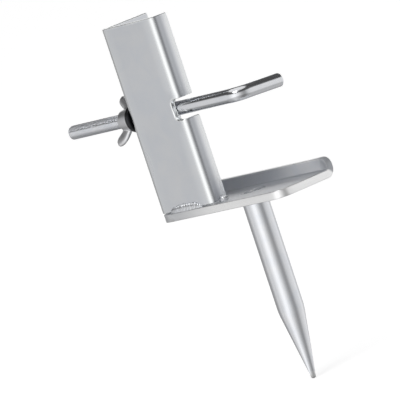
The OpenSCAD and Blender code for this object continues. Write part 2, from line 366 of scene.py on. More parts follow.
def sheet_path(start, heading, stretches):
    """Where a point of a folded sheet lies. The sheet's middle starts at a 2D point and
    runs through flat stretches and left-hand quarter bends. s is measured along the
    middle, and t across it, outwards of the bends."""
    runs = []
    point = Vector(start)
    s = 0.0
    for kind, size in stretches:
        ahead = Vector((math.cos(heading), math.sin(heading)))
        left = Vector((-ahead.y, ahead.x))
        if kind == "flat":
            runs.append((s, size, point.copy(), heading, None))
            point += ahead * size
            s += size
        else:
            runs.append((s, size * math.pi / 2, point + left * size, heading, size))
            point = point + left * size + ahead * size
            heading += math.pi / 2
            s += size * math.pi / 2

    def place(s, t):
        for begin, length, base, turn, radius in runs:
            if s <= begin + length or (begin, length) == runs[-1][:2]:
                if radius is None:
                    ahead = Vector((math.cos(turn), math.sin(turn)))
                    return base + ahead * (s - begin) + Vector((ahead.y, -ahead.x)) * t
                angle = turn - math.pi / 2 + (s - begin) / radius
                return base + Vector((math.cos(angle), math.sin(angle))) * (radius + t)
    return place


def quarter_arc(steps, first=0):
    """Sine and cosine of even steps over a quarter turn."""
    angles = [number / steps * math.pi / 2 for number in range(first, steps + 1)]
    return [(math.sin(angle), math.cos(angle)) for angle in angles]


def blank_outline(corners, inset, columns, rows):
    """Outline of a flat blank, drawn in by inset. corners are (s, z, radius), counter-
    clockwise and with square turns. Long edges get a point at each column and row."""
    arc_steps = 7
    least_radius = 1e-3 * mm
    least_step = 0.4 * mm
    outline = []
    count = len(corners)
    for number in range(count):
        before, here, after = (Vector(corners[(number + shift) % count][:2]) for shift in (-1, 0, 1))
        come, go = (here - before).normalized(), (after - here).normalized()
        turn = come.cross(go)
        radius = corners[number][2]
        radius = max(radius - inset, least_radius) if turn > 0 else radius + inset
        here = here + (Vector((-come.y, come.x)) + Vector((-go.y, go.x))) * inset
        centre = here - come * radius + go * radius
        for sine, cosine in quarter_arc(arc_steps):
            outline.append(centre + (come * sine - go * cosine) * radius)
        end = here + go * radius
        follow = Vector(corners[(number + 1) % count][:2])
        reach = (follow - here).dot(go)
        stations = columns if abs(go.x) > 0.5 else rows
        level = 0 if abs(go.x) > 0.5 else 1
        margin = clear + max(corners[(number + 1) % count][2], edge_round)
        least = least_step + radius + inset
        marks = [value for value in stations
                 if least < (value - here[level]) * go[level] < reach - margin]
        for value in sorted(marks, key=lambda value: value * go[level]):
            point = end.copy()
            point[level] = value
            outline.append(point)
    return outline


def nearest_edge(points, loop):
    """Distance of each point from a closed outline."""
    a = np.array([tuple(p) for p in loop])
    b = np.roll(a, -1, axis=0)
    p = np.array([tuple(q) for q in points])
    best = np.full(len(p), 1e9)
    for first, second in zip(a, b):
        side = second - first
        share = np.clip(((p - first) @ side) / max(side @ side, 1e-18), 0, 1)
        best = np.minimum(best, np.linalg.norm(p - first - share[:, None] * side, axis=1))
    return best


def inside(point, loop):
    """Whether a point lies inside a closed outline."""
    odd = False
    for first, second in zip(loop, loop[1:] + loop[:1]):
        if (first.y > point.y) != (second.y > point.y):
            if point.x < first.x + (point.y - first.y) / (second.y - first.y) * (second.x - first.x):
                odd = not odd
    return odd


def store(mesh, values):
    """Stores named values on a mesh, one for each of its points."""
    for kind, numbers in values.items():
        mesh.attributes.new(kind, "FLOAT", "POINT").data.foreach_set("value", numbers)


def applied(piece):
    """A plain mesh of a piece as its modifiers make it. They are taken off the piece."""
    seen_now = bpy.context.evaluated_depsgraph_get()
    mesh = bpy.data.meshes.new_from_object(piece.evaluated_get(seen_now), depsgraph=seen_now)
    piece.modifiers.clear()
    return mesh


def make_object(name, mesh, material):
    """Links a mesh as a piece of the part, smooth but for its sharp edges."""
    mesh.shade_smooth()
    mesh.set_sharp_from_angle(angle=sharp_angle)
    mesh.materials.clear()
    mesh.materials.append(material)
    piece = bpy.data.objects.new(name, mesh)
    scene.collection.objects.link(piece)
    return piece


def bent_sheet(name, corners, thickness, columns, rows, to_row, material, bend_and_highlight_value, shade_and_dull_value):
    """A blank with rounded edges, bent by to_row(s, z, t), and painted near its edges."""
    half = thickness / 2
    steps = 3
    inner_worn = 0.4
    least_margin = 0.3 * mm
    merge_distance = 2e-6
    layers = [(edge_round * (1 - sine), half - edge_round * (1 - cosine))
              for sine, cosine in quarter_arc(steps)]
    layers += [(inset, -t) for inset, t in reversed(layers)]
    rings = [blank_outline(corners, inset, columns, rows) for inset, _ in layers]
    points, faces = [], []
    for ring, (_, t) in zip(rings, layers):
        points += [(p.x, p.y, t) for p in ring]
    size = len(rings[0])
    for layer in range(len(layers) - 1):
        for number in range(size):
            following = (number + 1) % size
            faces.append((layer * size + number, layer * size + following,
                          (layer + 1) * size + following, (layer + 1) * size + number))
    border = rings[0]
    seeds = list(border)
    edges = [(number, (number + 1) % size) for number in range(size)]
    for depth in (edge_worn * inner_worn, edge_worn):
        loop = blank_outline(corners, edge_round + depth, columns, rows)
        start = len(seeds)
        seeds += loop
        edges += [(start + number, start + (number + 1) % len(loop)) for number in range(len(loop))]
    for s in columns:
        line = []
        for z in rows:
            spot = Vector((s, z))
            if inside(spot, border) and nearest_edge([spot], border)[0] > least_margin:
                line.append((len(seeds), z))
                seeds.append(spot)
            else:
                line.append(None)
        for first, second in zip(line, line[1:]):
            if first and second:
                edges.append((first[0], second[0]))
    flat, _, triangles, _, _, _ = delaunay_2d_cdt([Vector(p) / mm for p in seeds], edges, [], 0, 1e-5)
    flat = [p * mm for p in flat]
    kept = [t for t in triangles if inside(sum((flat[i] for i in t), Vector((0, 0))) / 3, border)]
    for t in (half, -half):
        start = len(points)
        points += [(p.x, p.y, t) for p in flat]
        faces += [tuple(start + i for i in face) for face in kept]
    away = nearest_edge([p[:2] for p in points], rings[steps])
    mesh = bpy.data.meshes.new(name)
    mesh.from_pydata([to_row(*p) for p in points], [], faces)
    store(mesh, {"edge": [max(0.0, 1 - distance / edge_worn) for distance in away],
                 "bend": [bend_and_highlight_value(*p) for p in points], "shade_and_dull": [shade_and_dull_value(*p) for p in points]})
    build = bmesh.new()
    build.from_mesh(mesh)
    bmesh.ops.remove_doubles(build, verts=build.verts, dist=merge_distance)
    loose = [vertex for vertex in build.verts if not vertex.link_faces]
    bmesh.ops.delete(build, geom=loose, context="VERTS")
    bmesh.ops.recalc_face_normals(build, faces=build.faces)
    build.to_mesh(mesh)
    build.free()
    return make_object(name, mesh, material)


def turned(name, profile, material, to_row, segments=96, closed=False):
    """A turned piece. The profile's points are (radius, height, edge), from end to end."""
    points, edge, faces = [], [], []
    for radius, height, worn in profile:
        for number in range(segments if radius > 0 else 1):
            angle = number / segments * 2 * math.pi
            points.append(to_row(radius * math.cos(angle), radius * math.sin(angle), height))
            edge.append(worn)
    starts = [0]
    for radius, _, _ in profile:
        starts.append(starts[-1] + (segments if radius > 0 else 1))
    pairs = list(zip(range(len(profile)), range(1, len(profile))))
    if closed:
        pairs.append((len(profile) - 1, 0))
    for low, high in pairs:
        for number in range(segments):
            following = (number + 1) % segments
            first = [starts[low]]
            second = [starts[high]]
            if profile[low][0] > 0:
                first = [starts[low] + number, starts[low] + following]
            if profile[high][0] > 0:
                second = [starts[high] + following, starts[high] + number]
            faces.append(tuple(first + second))
    mesh = bpy.data.meshes.new(name)
    mesh.from_pydata(points, [], faces)
    store(mesh, {"edge": edge})
    build = bmesh.new()
    build.from_mesh(mesh)
    bmesh.ops.recalc_face_normals(build, faces=build.faces)
    build.to_mesh(mesh)
    build.free()
    return make_object(name, mesh, material)


def cut_out(piece, cutter):
    """Takes a cutter's shape out of a piece, and removes the cutter."""
    cut = piece.modifiers.new("cut", "BOOLEAN")
    cut.operation = "DIFFERENCE"
    cut.solver = "EXACT"
    cut.object = cutter
    piece.data = applied(piece)
    bpy.data.objects.remove(cutter)
    piece.data.shade_smooth()
    piece.data.set_sharp_from_angle(angle=sharp_angle)


def steps_between(low, high, pitch):
    """Evenly spaced values from low to high, both left out."""
    count = max(1, round((high - low) / pitch))
    return [low + (high - low) * number / count for number in range(1, count)]


def bend_marks(begin, length):
    """Columns over a bend, its two ends among them."""
    return [begin + length * number / bend_columns for number in range(bend_columns + 1)]


def bend_stretch(away, length):
    """How far a bend's outside is stretched smooth, at a distance from the bend's middle."""
    return max(0.0, min(1.0, stretch_gain * (1 - abs(away) / (length * stretch_reach))))


def beside_bolt(face, turn=0.0):
    """Gives row coordinates to points beside the bolt's axis. Their height is measured from a
    face, away from the hook, and they are turned about the axis."""
    def to_row(x, y, height):
        return (face - height, bolt_y + x * math.sin(turn) + y * math.cos(turn),
                bolt_z + x * math.cos(turn) - y * math.sin(turn))
    return to_row


# Clamp channel. One blank of 3 mm steel sheet with a notch for the bolt, bent
# twice to a web, a side wall and a lip, then welded to the base and zinc plated.
# The outside of a bend is stretched smooth. On the lip, a painted shade darkens a strip
# beside the bend, and a painted highlight brightens it beside its edge.
sheet = 3.0 * mm
bend_outer = 4.0 * mm
bend_middle = bend_outer - sheet / 2
bend_length = bend_middle * math.pi / 2
lip_depth = 11.4 * mm
blank_corner = 1.0 * mm
notch_wall = 3.5 * mm
notch_height = 12.0 * mm
notch_corner = 3.0 * mm
mouth_corner = 0.8 * mm
web_hole = 4.5 * mm
hole_chamfer = 0.4 * mm
drill_past = 4 * mm

channel_low, channel_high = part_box("clamp_channel")
washer_low, washer_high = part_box("washer")
bolt_y = (washer_low.y + washer_high.y) / 2
bolt_z = (washer_low.z + washer_high.z) / 2
web_flat = channel_high.y - channel_low.y - bend_outer
wall_flat = channel_high.x - channel_low.x - 2 * bend_outer
lip_flat = lip_depth - bend_outer
channel_place = sheet_path(
    (channel_low.x + sheet / 2, channel_high.y), -math.pi / 2,
    [("flat", web_flat), ("bend", bend_middle), ("flat", wall_flat),
     ("bend", bend_middle), ("flat", lip_flat)])
first_bend = web_flat
second_bend = web_flat + bend_length + wall_flat
blank_end = second_bend + bend_length + lip_flat
notch_s = second_bend - notch_wall
notch_low = bolt_z - notch_height / 2
notch_high = bolt_z + notch_height / 2
channel_corners = [
    (0, channel_low.z, blank_corner), (blank_end, channel_low.z, blank_corner),
    (blank_end, notch_low, mouth_corner), (notch_s, notch_low, notch_corner),
    (notch_s, notch_high, notch_corner), (blank_end, notch_high, mouth_corner),
    (blank_end, channel_high.z, blank_corner), (0, channel_high.z, blank_corner)]
grid_pitch = 6 * mm
row_pitch = 5 * mm
lip_pitch = 0.75 * mm
channel_columns = steps_between(0, first_bend, grid_pitch)
channel_columns += bend_marks(first_bend, bend_length) + bend_marks(second_bend, bend_length)
channel_columns += steps_between(first_bend + bend_length, second_bend, grid_pitch)
channel_columns += steps_between(second_bend + bend_length, blank_end, lip_pitch)
channel_columns.sort()
channel_rows = steps_between(channel_low.z, channel_high.z, row_pitch)
# Painted highlight beside the lip's edge: its width and its gain.
lip_highlight_width = 4.5 * mm
lip_highlight_gain = 1.8
# Painted shade in a strip on the lip: its start before and end after the bend's end, and how it sets in and
# fades.
lip_shade_before = 2.0 * mm
lip_shade_after = 3.4 * mm
lip_shade_rise = 1.0 * mm
lip_shade_fall = 1.8 * mm
roll_spacing = 0.5 * mm
roll_depth = 0.10


def channel_to_row(s, z, t):
    """Row coordinates of a point of the channel's blank."""
    flat_point = channel_place(s, t)
    return flat_point.x, flat_point.y, z


def bend_stretch_and_lip_highlight(s, z, t):
    """How far the outside is stretched smooth at a bend, and how far a painted highlight
    brightens the lip beside its edge.
    """
    if t < 0:
        return 0.0
    stretch = max(bend_stretch(s - (begin + bend_length / 2), bend_length)
                  for begin in (first_bend, second_bend))
    lip_highlight = 1 - (blank_end - s) / lip_highlight_width
    return max(stretch, min(1.0, lip_highlight_gain * lip_highlight))


def lip_painted_shade(s, z, t):
    """How far a painted shade darkens the lip beside its bend."""
    if t < 0:
        return 0.0
    from_bend = s - second_bend - bend_length
    return max(0.0, min(1.0, (from_bend + lip_shade_before) / lip_shade_rise, (lip_shade_after - from_bend) / lip_shade_fall))


sheet_steel = plated_steel("plated_sheet", (0.70, 0.724, 0.766), 0.32, bump=10e-6, cloud_size=14 * mm,
                           lines=(2, roll_spacing, roll_depth))
channel = bent_sheet("clamp_channel_sheet", channel_corners, sheet, channel_columns, channel_rows,
                     channel_to_row, sheet_steel, bend_stretch_and_lip_highlight, lip_painted_shade)
hole_reach = sheet + drill_past
cut_out(channel, turned("web_drill", [
    (0, -hole_reach, 0), (web_hole, -hole_reach, 0), (web_hole, -sheet, 0), (web_hole, -hole_chamfer, 0),
    (web_hole + hole_chamfer + clear, clear, 0), (0, clear, 0)],
    sheet_steel, beside_bolt(channel_low.x), segments=48))
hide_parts("clamp_channel")
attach(channel, "frame")

# Base plate. 4.5 mm plate with rounded corners, its far edge folded up to a low rim.
# The spike's spigot goes through a hole that is counterbored for the weld.
plate = 4.5 * mm
plate_bend_outer = 5.5 * mm
plate_bend_middle = plate_bend_outer - plate / 2
plate_corner = 8.0 * mm
rim_corner = 5.0 * mm
spigot_hole = 5.55 * mm
weld_pool = 8.0 * mm
weld_depth = 1.5 * mm

base_low, base_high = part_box("base_plate")
spike_low, spike_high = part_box("spike")
spike_x = (spike_low.x + spike_high.x) / 2
spike_y = (spike_low.y + spike_high.y) / 2
plate_top = base_low.z + plate
plate_flat = base_high.y - base_low.y - plate_bend_outer
rim_flat = base_high.z - base_low.z - plate_bend_outer
plate_bend_length = plate_bend_middle * math.pi / 2
base_place = sheet_path((base_low.y, base_low.z + plate / 2), 0.0,
                        [("flat", plate_flat), ("bend", plate_bend_middle), ("flat", rim_flat)])
base_end = plate_flat + plate_bend_length + rim_flat
rim_start = plate_flat + plate_bend_length / 2
base_corners = [(0, base_low.x, plate_corner), (base_end, base_low.x, rim_corner),
                (base_end, base_high.x, rim_corner), (0, base_high.x, plate_corner)]
base_columns = steps_between(0, plate_flat, grid_pitch)
base_columns += bend_marks(plate_flat, plate_bend_length)
base_rows = steps_between(base_low.x, base_high.x, grid_pitch)
rough_end = 6 * mm
rough_rise = 2.5 * mm
# Painted shade on the ledge beside the wall's bead: its width, the length over which it fades, its gain and
# its share on the near edge.
ledge_shade_width = 2.2 * mm
ledge_shade_length = 42 * mm
ledge_shade_gain = 1.6
near_edge_shade = 0.6


def base_to_row(s, x, t):
    """Row coordinates of a point of the plate's blank."""
    flat_point = base_place(s, t)
    return x, flat_point.x, flat_point.y


def base_stretched(s, x, t):
    """How far the outside is stretched smooth at the rim's bend."""
    if t < 0:
        return 0.0
    return bend_stretch(s - plate_flat - plate_bend_length / 2, plate_bend_length)


def base_shade_and_rough_cut(s, x, t):
    """Painted shade beside the wall's bead, fading from the plate's left end on: on the ledge and,
    weaker, on the near edge. The rim's far end keeps the rough face of the cut."""
    if s > rim_start and x > base_high.x - rough_end:
        return min(1.0, (x - base_high.x + rough_end) / rough_rise)
    reach = (x - base_low.x) / ledge_shade_length
    if t >= plate / 2 - edge_round / 2 or s > ledge_shade_width:
        return 0.0
    share = 1.0 if t < -plate / 2 + edge_round / 2 else near_edge_shade
    return max(0.0, min(1.0, ledge_shade_gain - ledge_shade_gain * reach)) * share


plate_steel = plated_steel("plated_plate", (0.80, 0.82, 0.86), 0.38, bump=12e-6, cloud_size=12 * mm,
                           lines=(0, roll_spacing, roll_depth), dull_matt=0.40)
base = bent_sheet("base_plate_sheet", base_corners, plate, base_columns, base_rows, base_to_row,
                  plate_steel, base_stretched, base_shade_and_rough_cut)


def on_spike_axis(x, y, height):
    """Row coordinates of a point round the spike's axis, its height measured from the plate's top."""
    return spike_x + x, spike_y + y, plate_top + height


cut_out(base, turned("spigot_drill", [
    (0, -plate - clear, 0), (spigot_hole, -plate - clear, 0), (spigot_hole, -weld_depth, 0),
    (weld_pool, -weld_depth, 0), (weld_pool, clear, 0), (0, clear, 0)], plate_steel, on_spike_axis))
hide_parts("base_plate")
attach(base, "frame")

# Spike. 15 mm bright bar turned to a long point with a blunted tip. A spigot above
# its shoulder goes up through the plate. The cone keeps the lathe's fine rings.
spike_radius = (spike_high.x - spike_low.x) / 2
spigot_radius = 5.5 * mm
point_length = 40 * mm
tip_radius = 1.25 * mm
shoulder_round = 0.4 * mm
shoulder_steps = 4
cone_blend = 3.0 * mm
blend_steps = 4
cone_steps = 9
cone_stop = 1.2 * mm
cone_worn, cone_gain = 0.6, 1.6
tip_steps = 5
tip_bulge = 1.15
tip_height = 0.9 * mm
turning_spacing = 0.35 * mm
turning_depth = 0.4

cone_top = spike_low.z + point_length - plate_top
spike_end = spike_low.z - plate_top
slope = (spike_radius - tip_radius) / point_length
spike_profile = [(0, -0.25 * mm, 0.2), (0.7 * mm, -0.2 * mm, 0.3), (1.3 * mm, -0.02 * mm, 0.6),
                 (spigot_radius - 0.3 * mm, -0.02 * mm, 0.7), (spigot_radius, -0.3 * mm, 0.2),
                 (spigot_radius, -plate, 0), (spike_radius - shoulder_round, -plate, 0.4)]
for sine, cosine in quarter_arc(shoulder_steps, first=1):
    spike_profile.append((spike_radius - shoulder_round * (1 - sine),
                          -plate - shoulder_round * (1 - cosine), 0.8))
spike_profile.append((spike_radius, -plate - 1.6 * mm, 0.0))
for share in (0.25, 0.5, 0.75):
    spike_profile.append((spike_radius, -plate + share * (cone_top + plate), 0.0))
for number in range(2 * blend_steps + 1):
    along = cone_blend * (number / blend_steps - 1)
    drop = slope * (along + cone_blend) ** 2 / (4 * cone_blend)
    spike_profile.append((spike_radius - drop, cone_top - along, 0.15 if number == blend_steps else 0.0))
for number in range(1, cone_steps):
    share = number / cone_steps
    height = cone_top - cone_blend + (spike_end + cone_stop - cone_top + cone_blend) * share
    radius = spike_radius - slope * (cone_top - height)
    spike_profile.append((radius, height, max(0.0, (share - cone_worn) * cone_gain)))
for sine, cosine in quarter_arc(tip_steps)[:-1]:
    spike_profile.append((tip_radius * tip_bulge * cosine, spike_end + tip_height * (1 - sine), 1.0))
spike_profile.append((0, spike_end, 1.0))
bar_steel = plated_steel("plated_bar", (0.765, 0.785, 0.825), 0.19, bump=6e-6, cloud_size=10 * mm,
                         lines=(2, turning_spacing, turning_depth))
spike = turned("spike_turned", spike_profile, bar_steel, on_spike_axis, segments=128)
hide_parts("spike")
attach(spike, "frame")

# Spigot weld. A ring run in the counterbore round the spigot, then ground flush.
ring_inner = 5.52 * mm
ring_outer = 7.95 * mm
ring_band = 0.7 * mm
ring_wobble = 0.12 * mm
ground = 0.03 * mm
weld_steel = plated_steel("plated_weld", (0.70, 0.72, 0.755), 0.30, bump=30e-6, cloud_size=4 * mm,
                          scratches=0.8)
ring = turned("spike_weld_ring", [
    (ring_inner, -weld_depth, 0), (ring_outer, -weld_depth, 0), (ring_outer, -0.3 * mm, 0.1),
    (ring_outer - 0.25 * mm, -ground - 0.05 * mm, 0.4), (ring_outer - 0.6 * mm, -ground, 0.7),
    (ring_inner + 0.5 * mm, -ground, 0.7), (ring_inner + 0.15 * mm, -0.2 * mm, 0.2)],
    weld_steel, on_spike_axis, closed=True)
for vertex in ring.data.vertices:
    offset = Vector((vertex.co.x - spike_x, vertex.co.y - spike_y))
    bearing_now = math.atan2(offset.y, offset.x)
    if offset.length > ring_outer - ring_band:
        shrink = ring_wobble * (1 + math.sin(7 * bearing_now + 1) * math.sin(3 * bearing_now)) / 2
        vertex.co.x -= offset.x / offset.length * shrink
        vertex.co.y -= offset.y / offset.length * shrink
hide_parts("spike_weld")
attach(ring, "frame")

# Weld beads. A fillet along the side wall's lower edge, a tack at the lip's lower end
# and a bead over the seam behind the web. Each was run in one pass and shows its ripples.
tube_sides = 40
pool_scale = 420.0
uneven_swing, uneven_least = 0.34, 0.83
ripple_depth = 0.07
ripple_bow = 0.55
bead_fill = 0.93
tack_fill = 0.9


def new_tree(name, vectors, numbers):
    """An empty geometry tree with a geometry in and out, and named inputs for its sizes."""
    tree = bpy.data.node_groups.new(name, "GeometryNodeTree")
    tree.interface.new_socket("Geometry", in_out="INPUT", socket_type="NodeSocketGeometry")
    for kind, sockets in (("NodeSocketVector", vectors), ("NodeSocketFloat", numbers)):
        for socket in sockets:
            tree.interface.new_socket(socket, in_out="INPUT", socket_type=kind)
    tree.interface.new_socket("Geometry", in_out="OUTPUT", socket_type="NodeSocketGeometry")
    return tree, add_node(tree, "NodeGroupInput").outputs


def vector_calc(tree, operation, *values, out=0):
    """The result of one vector math node."""
    return add_node(tree, "ShaderNodeVectorMath", dict(enumerate(values)), operation=operation).outputs[out]


def stored(tree, name, kind="FLOAT"):
    """A value stored on the points of a line."""
    return add_node(tree, "GeometryNodeInputNamedAttribute", {"Name": name}, data_type=kind).outputs[0]


def start_tube(tree, line):
    """A round tube along a line of points. Returns it, the place of each of its points,
    the middle line there and the direction outwards."""
    curve = add_node(tree, "GeometryNodeMeshToCurve", {0: line}).outputs[0]
    circle = add_node(tree, "GeometryNodeCurvePrimitiveCircle",
                      {"Resolution": tube_sides, "Radius": 1 * mm}, mode="RADIUS").outputs[0]
    tube = add_node(tree, "GeometryNodeCurveToMesh",
                    {"Curve": curve, "Profile Curve": circle, "Fill Caps": True}).outputs[0]
    at = add_node(tree, "GeometryNodeInputPosition").outputs[0]
    centre = stored(tree, "centre", "FLOAT_VECTOR")
    out = vector_calc(tree, "NORMALIZE", vector_calc(tree, "SUBTRACT", at, centre))
    return tube, at, centre, out


def outwards(tree, centre, out, reach):
    """The point at a reach outwards of the middle line."""
    step = add_node(tree, "ShaderNodeVectorMath", {0: out, "Scale": reach}, operation="SCALE").outputs[0]
    return vector_calc(tree, "ADD", centre, step)


def end_tree(tree, tube, spot, material):
    """Closes a tree: its points put in place, instances made real, shaded smooth and given
    their material."""
    shape = add_node(tree, "GeometryNodeSetPosition", {"Geometry": tube, "Position": spot}).outputs[0]
    real = add_node(tree, "GeometryNodeRealizeInstances", {0: shape}).outputs[0]
    smooth = add_node(tree, "GeometryNodeSetShadeSmooth", {0: real}).outputs[0]
    coated = add_node(tree, "GeometryNodeSetMaterial", {"Geometry": smooth, "Material": material}).outputs[0]
    add_node(tree, "NodeGroupOutput", {0: coated})


def grow(name, tree, path_points, values, point_values):
    """Runs a tree on a line of points, and returns the piece with the plain mesh that it makes."""
    line = bpy.data.meshes.new(name)
    line.from_pydata([tuple(p) for p in path_points], [(n, n + 1) for n in range(len(path_points) - 1)], [])
    store(line, point_values)
    centres = line.attributes.new("centre", "FLOAT_VECTOR", "POINT")
    centres.data.foreach_set("vector", [value for p in path_points for value in p])
    piece = bpy.data.objects.new(name, line)
    scene.collection.objects.link(piece)
    grown = piece.modifiers.new("grow", "NODES")
    grown.node_group = tree
    sockets = {item.name: item.identifier for item in tree.interface.items_tree
               if item.item_type == "SOCKET" and item.in_out == "INPUT"}
    for socket, value in values.items():
        grown[sockets[socket]] = value
    piece.data = applied(piece)
    return piece


bead_tree, given = new_tree("weld_bead", ["Width", "Outward", "Low", "High"],
                            ["Ripple Pitch", "Ripple Depth", "Bow", "Seed"])
bead_tube, bead_at, bead_centre, bead_out = start_tube(bead_tree, given["Geometry"])
bead_facing = vector_calc(bead_tree, "DOT_PRODUCT", bead_out, given["Outward"], out=1)
bead_lag = calc(bead_tree, "MULTIPLY", calc(bead_tree, "SUBTRACT", 1.0, bead_facing), given["Bow"])
bead_turns = calc(bead_tree, "DIVIDE", stored(bead_tree, "travel"), given["Ripple Pitch"])
bead_turns = calc(bead_tree, "ADD", bead_turns, bead_lag)
bead_wave = calc(bead_tree, "SINE", calc(bead_tree, "MULTIPLY", bead_turns, 2 * math.pi))
bead_crest = calc(bead_tree, "MULTIPLY", bead_wave, calc(bead_tree, "ABSOLUTE", bead_wave))
bead_pool = noise(bead_tree, "4D", Vector=bead_at, W=given["Seed"], Scale=pool_scale, Detail=2.0)
bead_uneven = calc(bead_tree, "MULTIPLY_ADD", bead_pool, uneven_swing, uneven_least)
bead_ripple = calc(bead_tree, "MULTIPLY_ADD", bead_crest, given["Ripple Depth"], 1.0)
bead_full = calc(bead_tree, "MULTIPLY", bead_uneven, bead_ripple)
bead_reach = calc(bead_tree, "MULTIPLY", bead_full, stored(bead_tree, "swell"))
bead_step = vector_calc(bead_tree, "MULTIPLY", bead_out, given["Width"])
bead_spot = outwards(bead_tree, bead_centre, bead_step, bead_reach)
bead_spot = vector_calc(bead_tree, "MAXIMUM", bead_spot, given["Low"])
bead_spot = vector_calc(bead_tree, "MINIMUM", bead_spot, given["High"])
end_tree(bead_tree, bead_tube, bead_spot, weld_steel)

wall_weld_low, wall_weld_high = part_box("wall_weld")
lip_weld_low, lip_weld_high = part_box("lip_weld")
back_weld_low, back_weld_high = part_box("back_weld")
sunk = 0.8 * mm
ripple_pitch = 1.15 * mm
bead_spacing = ripple_pitch / 9
bead_least_steps = 24


def weld_bead(name, node, start, end, width, outward, low, high, fullness, seed):
    """One bead from start to end. fullness says how blunt its ends are."""
    start, end = Vector(start), Vector(end)
    length = (end - start).length
    count = max(bead_least_steps, round(length / bead_spacing))
    shares = [(number + 0.5) / (count + 1) for number in range(count + 1)]
    bead = grow(name, bead_tree, [start.lerp(end, share) for share in shares],
                {"Width": width, "Outward": Vector(outward).normalized(), "Ripple Pitch": ripple_pitch,
                 "Ripple Depth": ripple_depth, "Bow": ripple_bow, "Low": low, "High": high, "Seed": seed},
                {"travel": [share * length for share in shares],
                 "swell": [(1 - abs(2 * share - 1) ** fullness) ** 0.5 for share in shares]})
    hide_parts(node)
    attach(bead, "frame")


weld_bead("wall_weld_bead", "wall_weld",
          (wall_weld_low.x, channel_low.y, plate_top), (wall_weld_high.x, channel_low.y, plate_top),
          (1.0, (channel_low.y - wall_weld_low.y) * bead_fill, wall_weld_high.z * bead_fill), (0, -1, 0.6),
          (wall_weld_low.x, wall_weld_low.y, plate_top - sunk),
          (wall_weld_high.x, channel_low.y + sunk, wall_weld_high.z), 2.6, 1.0)
weld_bead("lip_weld_tack", "lip_weld",
          (channel_high.x, lip_weld_low.y, plate_top), (channel_high.x, lip_weld_high.y, plate_top),
          ((lip_weld_high.x - channel_high.x) * tack_fill, 1.0, lip_weld_high.z * tack_fill), (1, 0, 1),
          (channel_high.x - sunk, lip_weld_low.y, plate_top - sunk), tuple(lip_weld_high), 3.0, 2.0)
seam_z = (back_weld_low.z + back_weld_high.z) / 2
seam_half = (back_weld_high.z - back_weld_low.z) / 2
weld_bead("back_weld_bead", "back_weld",
          (channel_low.x, back_weld_low.y, seam_z), (channel_low.x, back_weld_high.y, seam_z),
          ((channel_low.x - back_weld_low.x) * bead_fill, 1.0, seam_half * bead_fill), (-1, 0, 0),
          tuple(back_weld_low), (channel_low.x + sunk, back_weld_high.y, back_weld_high.z), 4.0, 3.0)

# Hook bolt. 8 mm bright bar with a rolled M8 thread on its straight end, bent
# square to a hook that droops a little from level. Both ends are chamfered.
bolt_radius = 4.0 * mm
thread_pitch = 1.25 * mm
thread_root = 3.32 * mm
thread_crest = 3.96 * mm
thread_length = 80 * mm
thread_runout = 2.5 * mm
end_chamfer = 0.8 * mm
hook_bend = 6.0 * mm
hook_reach = 32.2 * mm
hook_droop = math.radians(2.4)
thread_spacing = thread_pitch / 12
shank_spacing = 3.0 * mm
hook_spacing = 1.5 * mm
bend_degrees = 5
flank_low, flank_high = 0.2, 0.86

bolt_tree, given = new_tree("hook_bolt", ["Axis"], ["Pitch", "Crest", "Root", "Radius", "End Radius"])
bolt_tube, bolt_at, bolt_centre, bolt_out = start_tube(bolt_tree, given["Geometry"])
axes = axes_of(bolt_tree, vector_calc(bolt_tree, "SUBTRACT", bolt_at, given["Axis"]))
turn_share = calc(bolt_tree, "DIVIDE", calc(bolt_tree, "ARCTAN2", axes[2], axes[1]), 2 * math.pi)
helix = calc(bolt_tree, "SUBTRACT", calc(bolt_tree, "DIVIDE", axes[0], given["Pitch"]), turn_share)
flank = calc(bolt_tree, "MULTIPLY_ADD", calc(bolt_tree, "FRACT", helix), 2.0, -1.0)
ridge = ramp(bolt_tree, calc(bolt_tree, "ABSOLUTE", flank), flank_low, flank_high)
thread_depth = calc(bolt_tree, "SUBTRACT", given["Crest"], given["Root"])
threaded = calc(bolt_tree, "MULTIPLY_ADD", ridge, thread_depth, given["Root"])
cut_depth = calc(bolt_tree, "SUBTRACT", given["Radius"], threaded)
cut_depth = calc(bolt_tree, "MULTIPLY", cut_depth, stored(bolt_tree, "thread"))
bolt_girth = calc(bolt_tree, "SUBTRACT", given["Radius"], cut_depth)
end_girth = calc(bolt_tree, "ADD", given["End Radius"], stored(bolt_tree, "from_end"))
bolt_girth = calc(bolt_tree, "MINIMUM", bolt_girth, end_girth)
bolt_spot = outwards(bolt_tree, bolt_centre, bolt_out, bolt_girth)
bolt_steel = plated_steel("plated_bolt", (0.77, 0.79, 0.83), 0.17, bump=7e-6, cloud_size=8 * mm)
end_tree(bolt_tree, bolt_tube, bolt_spot, bolt_steel)

bolt_low, bolt_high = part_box("hook_bolt")
hook_x = bolt_high.x - bolt_radius
thread_end = bolt_low.x + thread_length


def on_hook(x, out):
    """Row coordinates of a point on the bolt's middle line, out from its axis along the hook."""
    return Vector((x, bolt_y + out * math.cos(hook_droop), bolt_z - out * math.sin(hook_droop)))


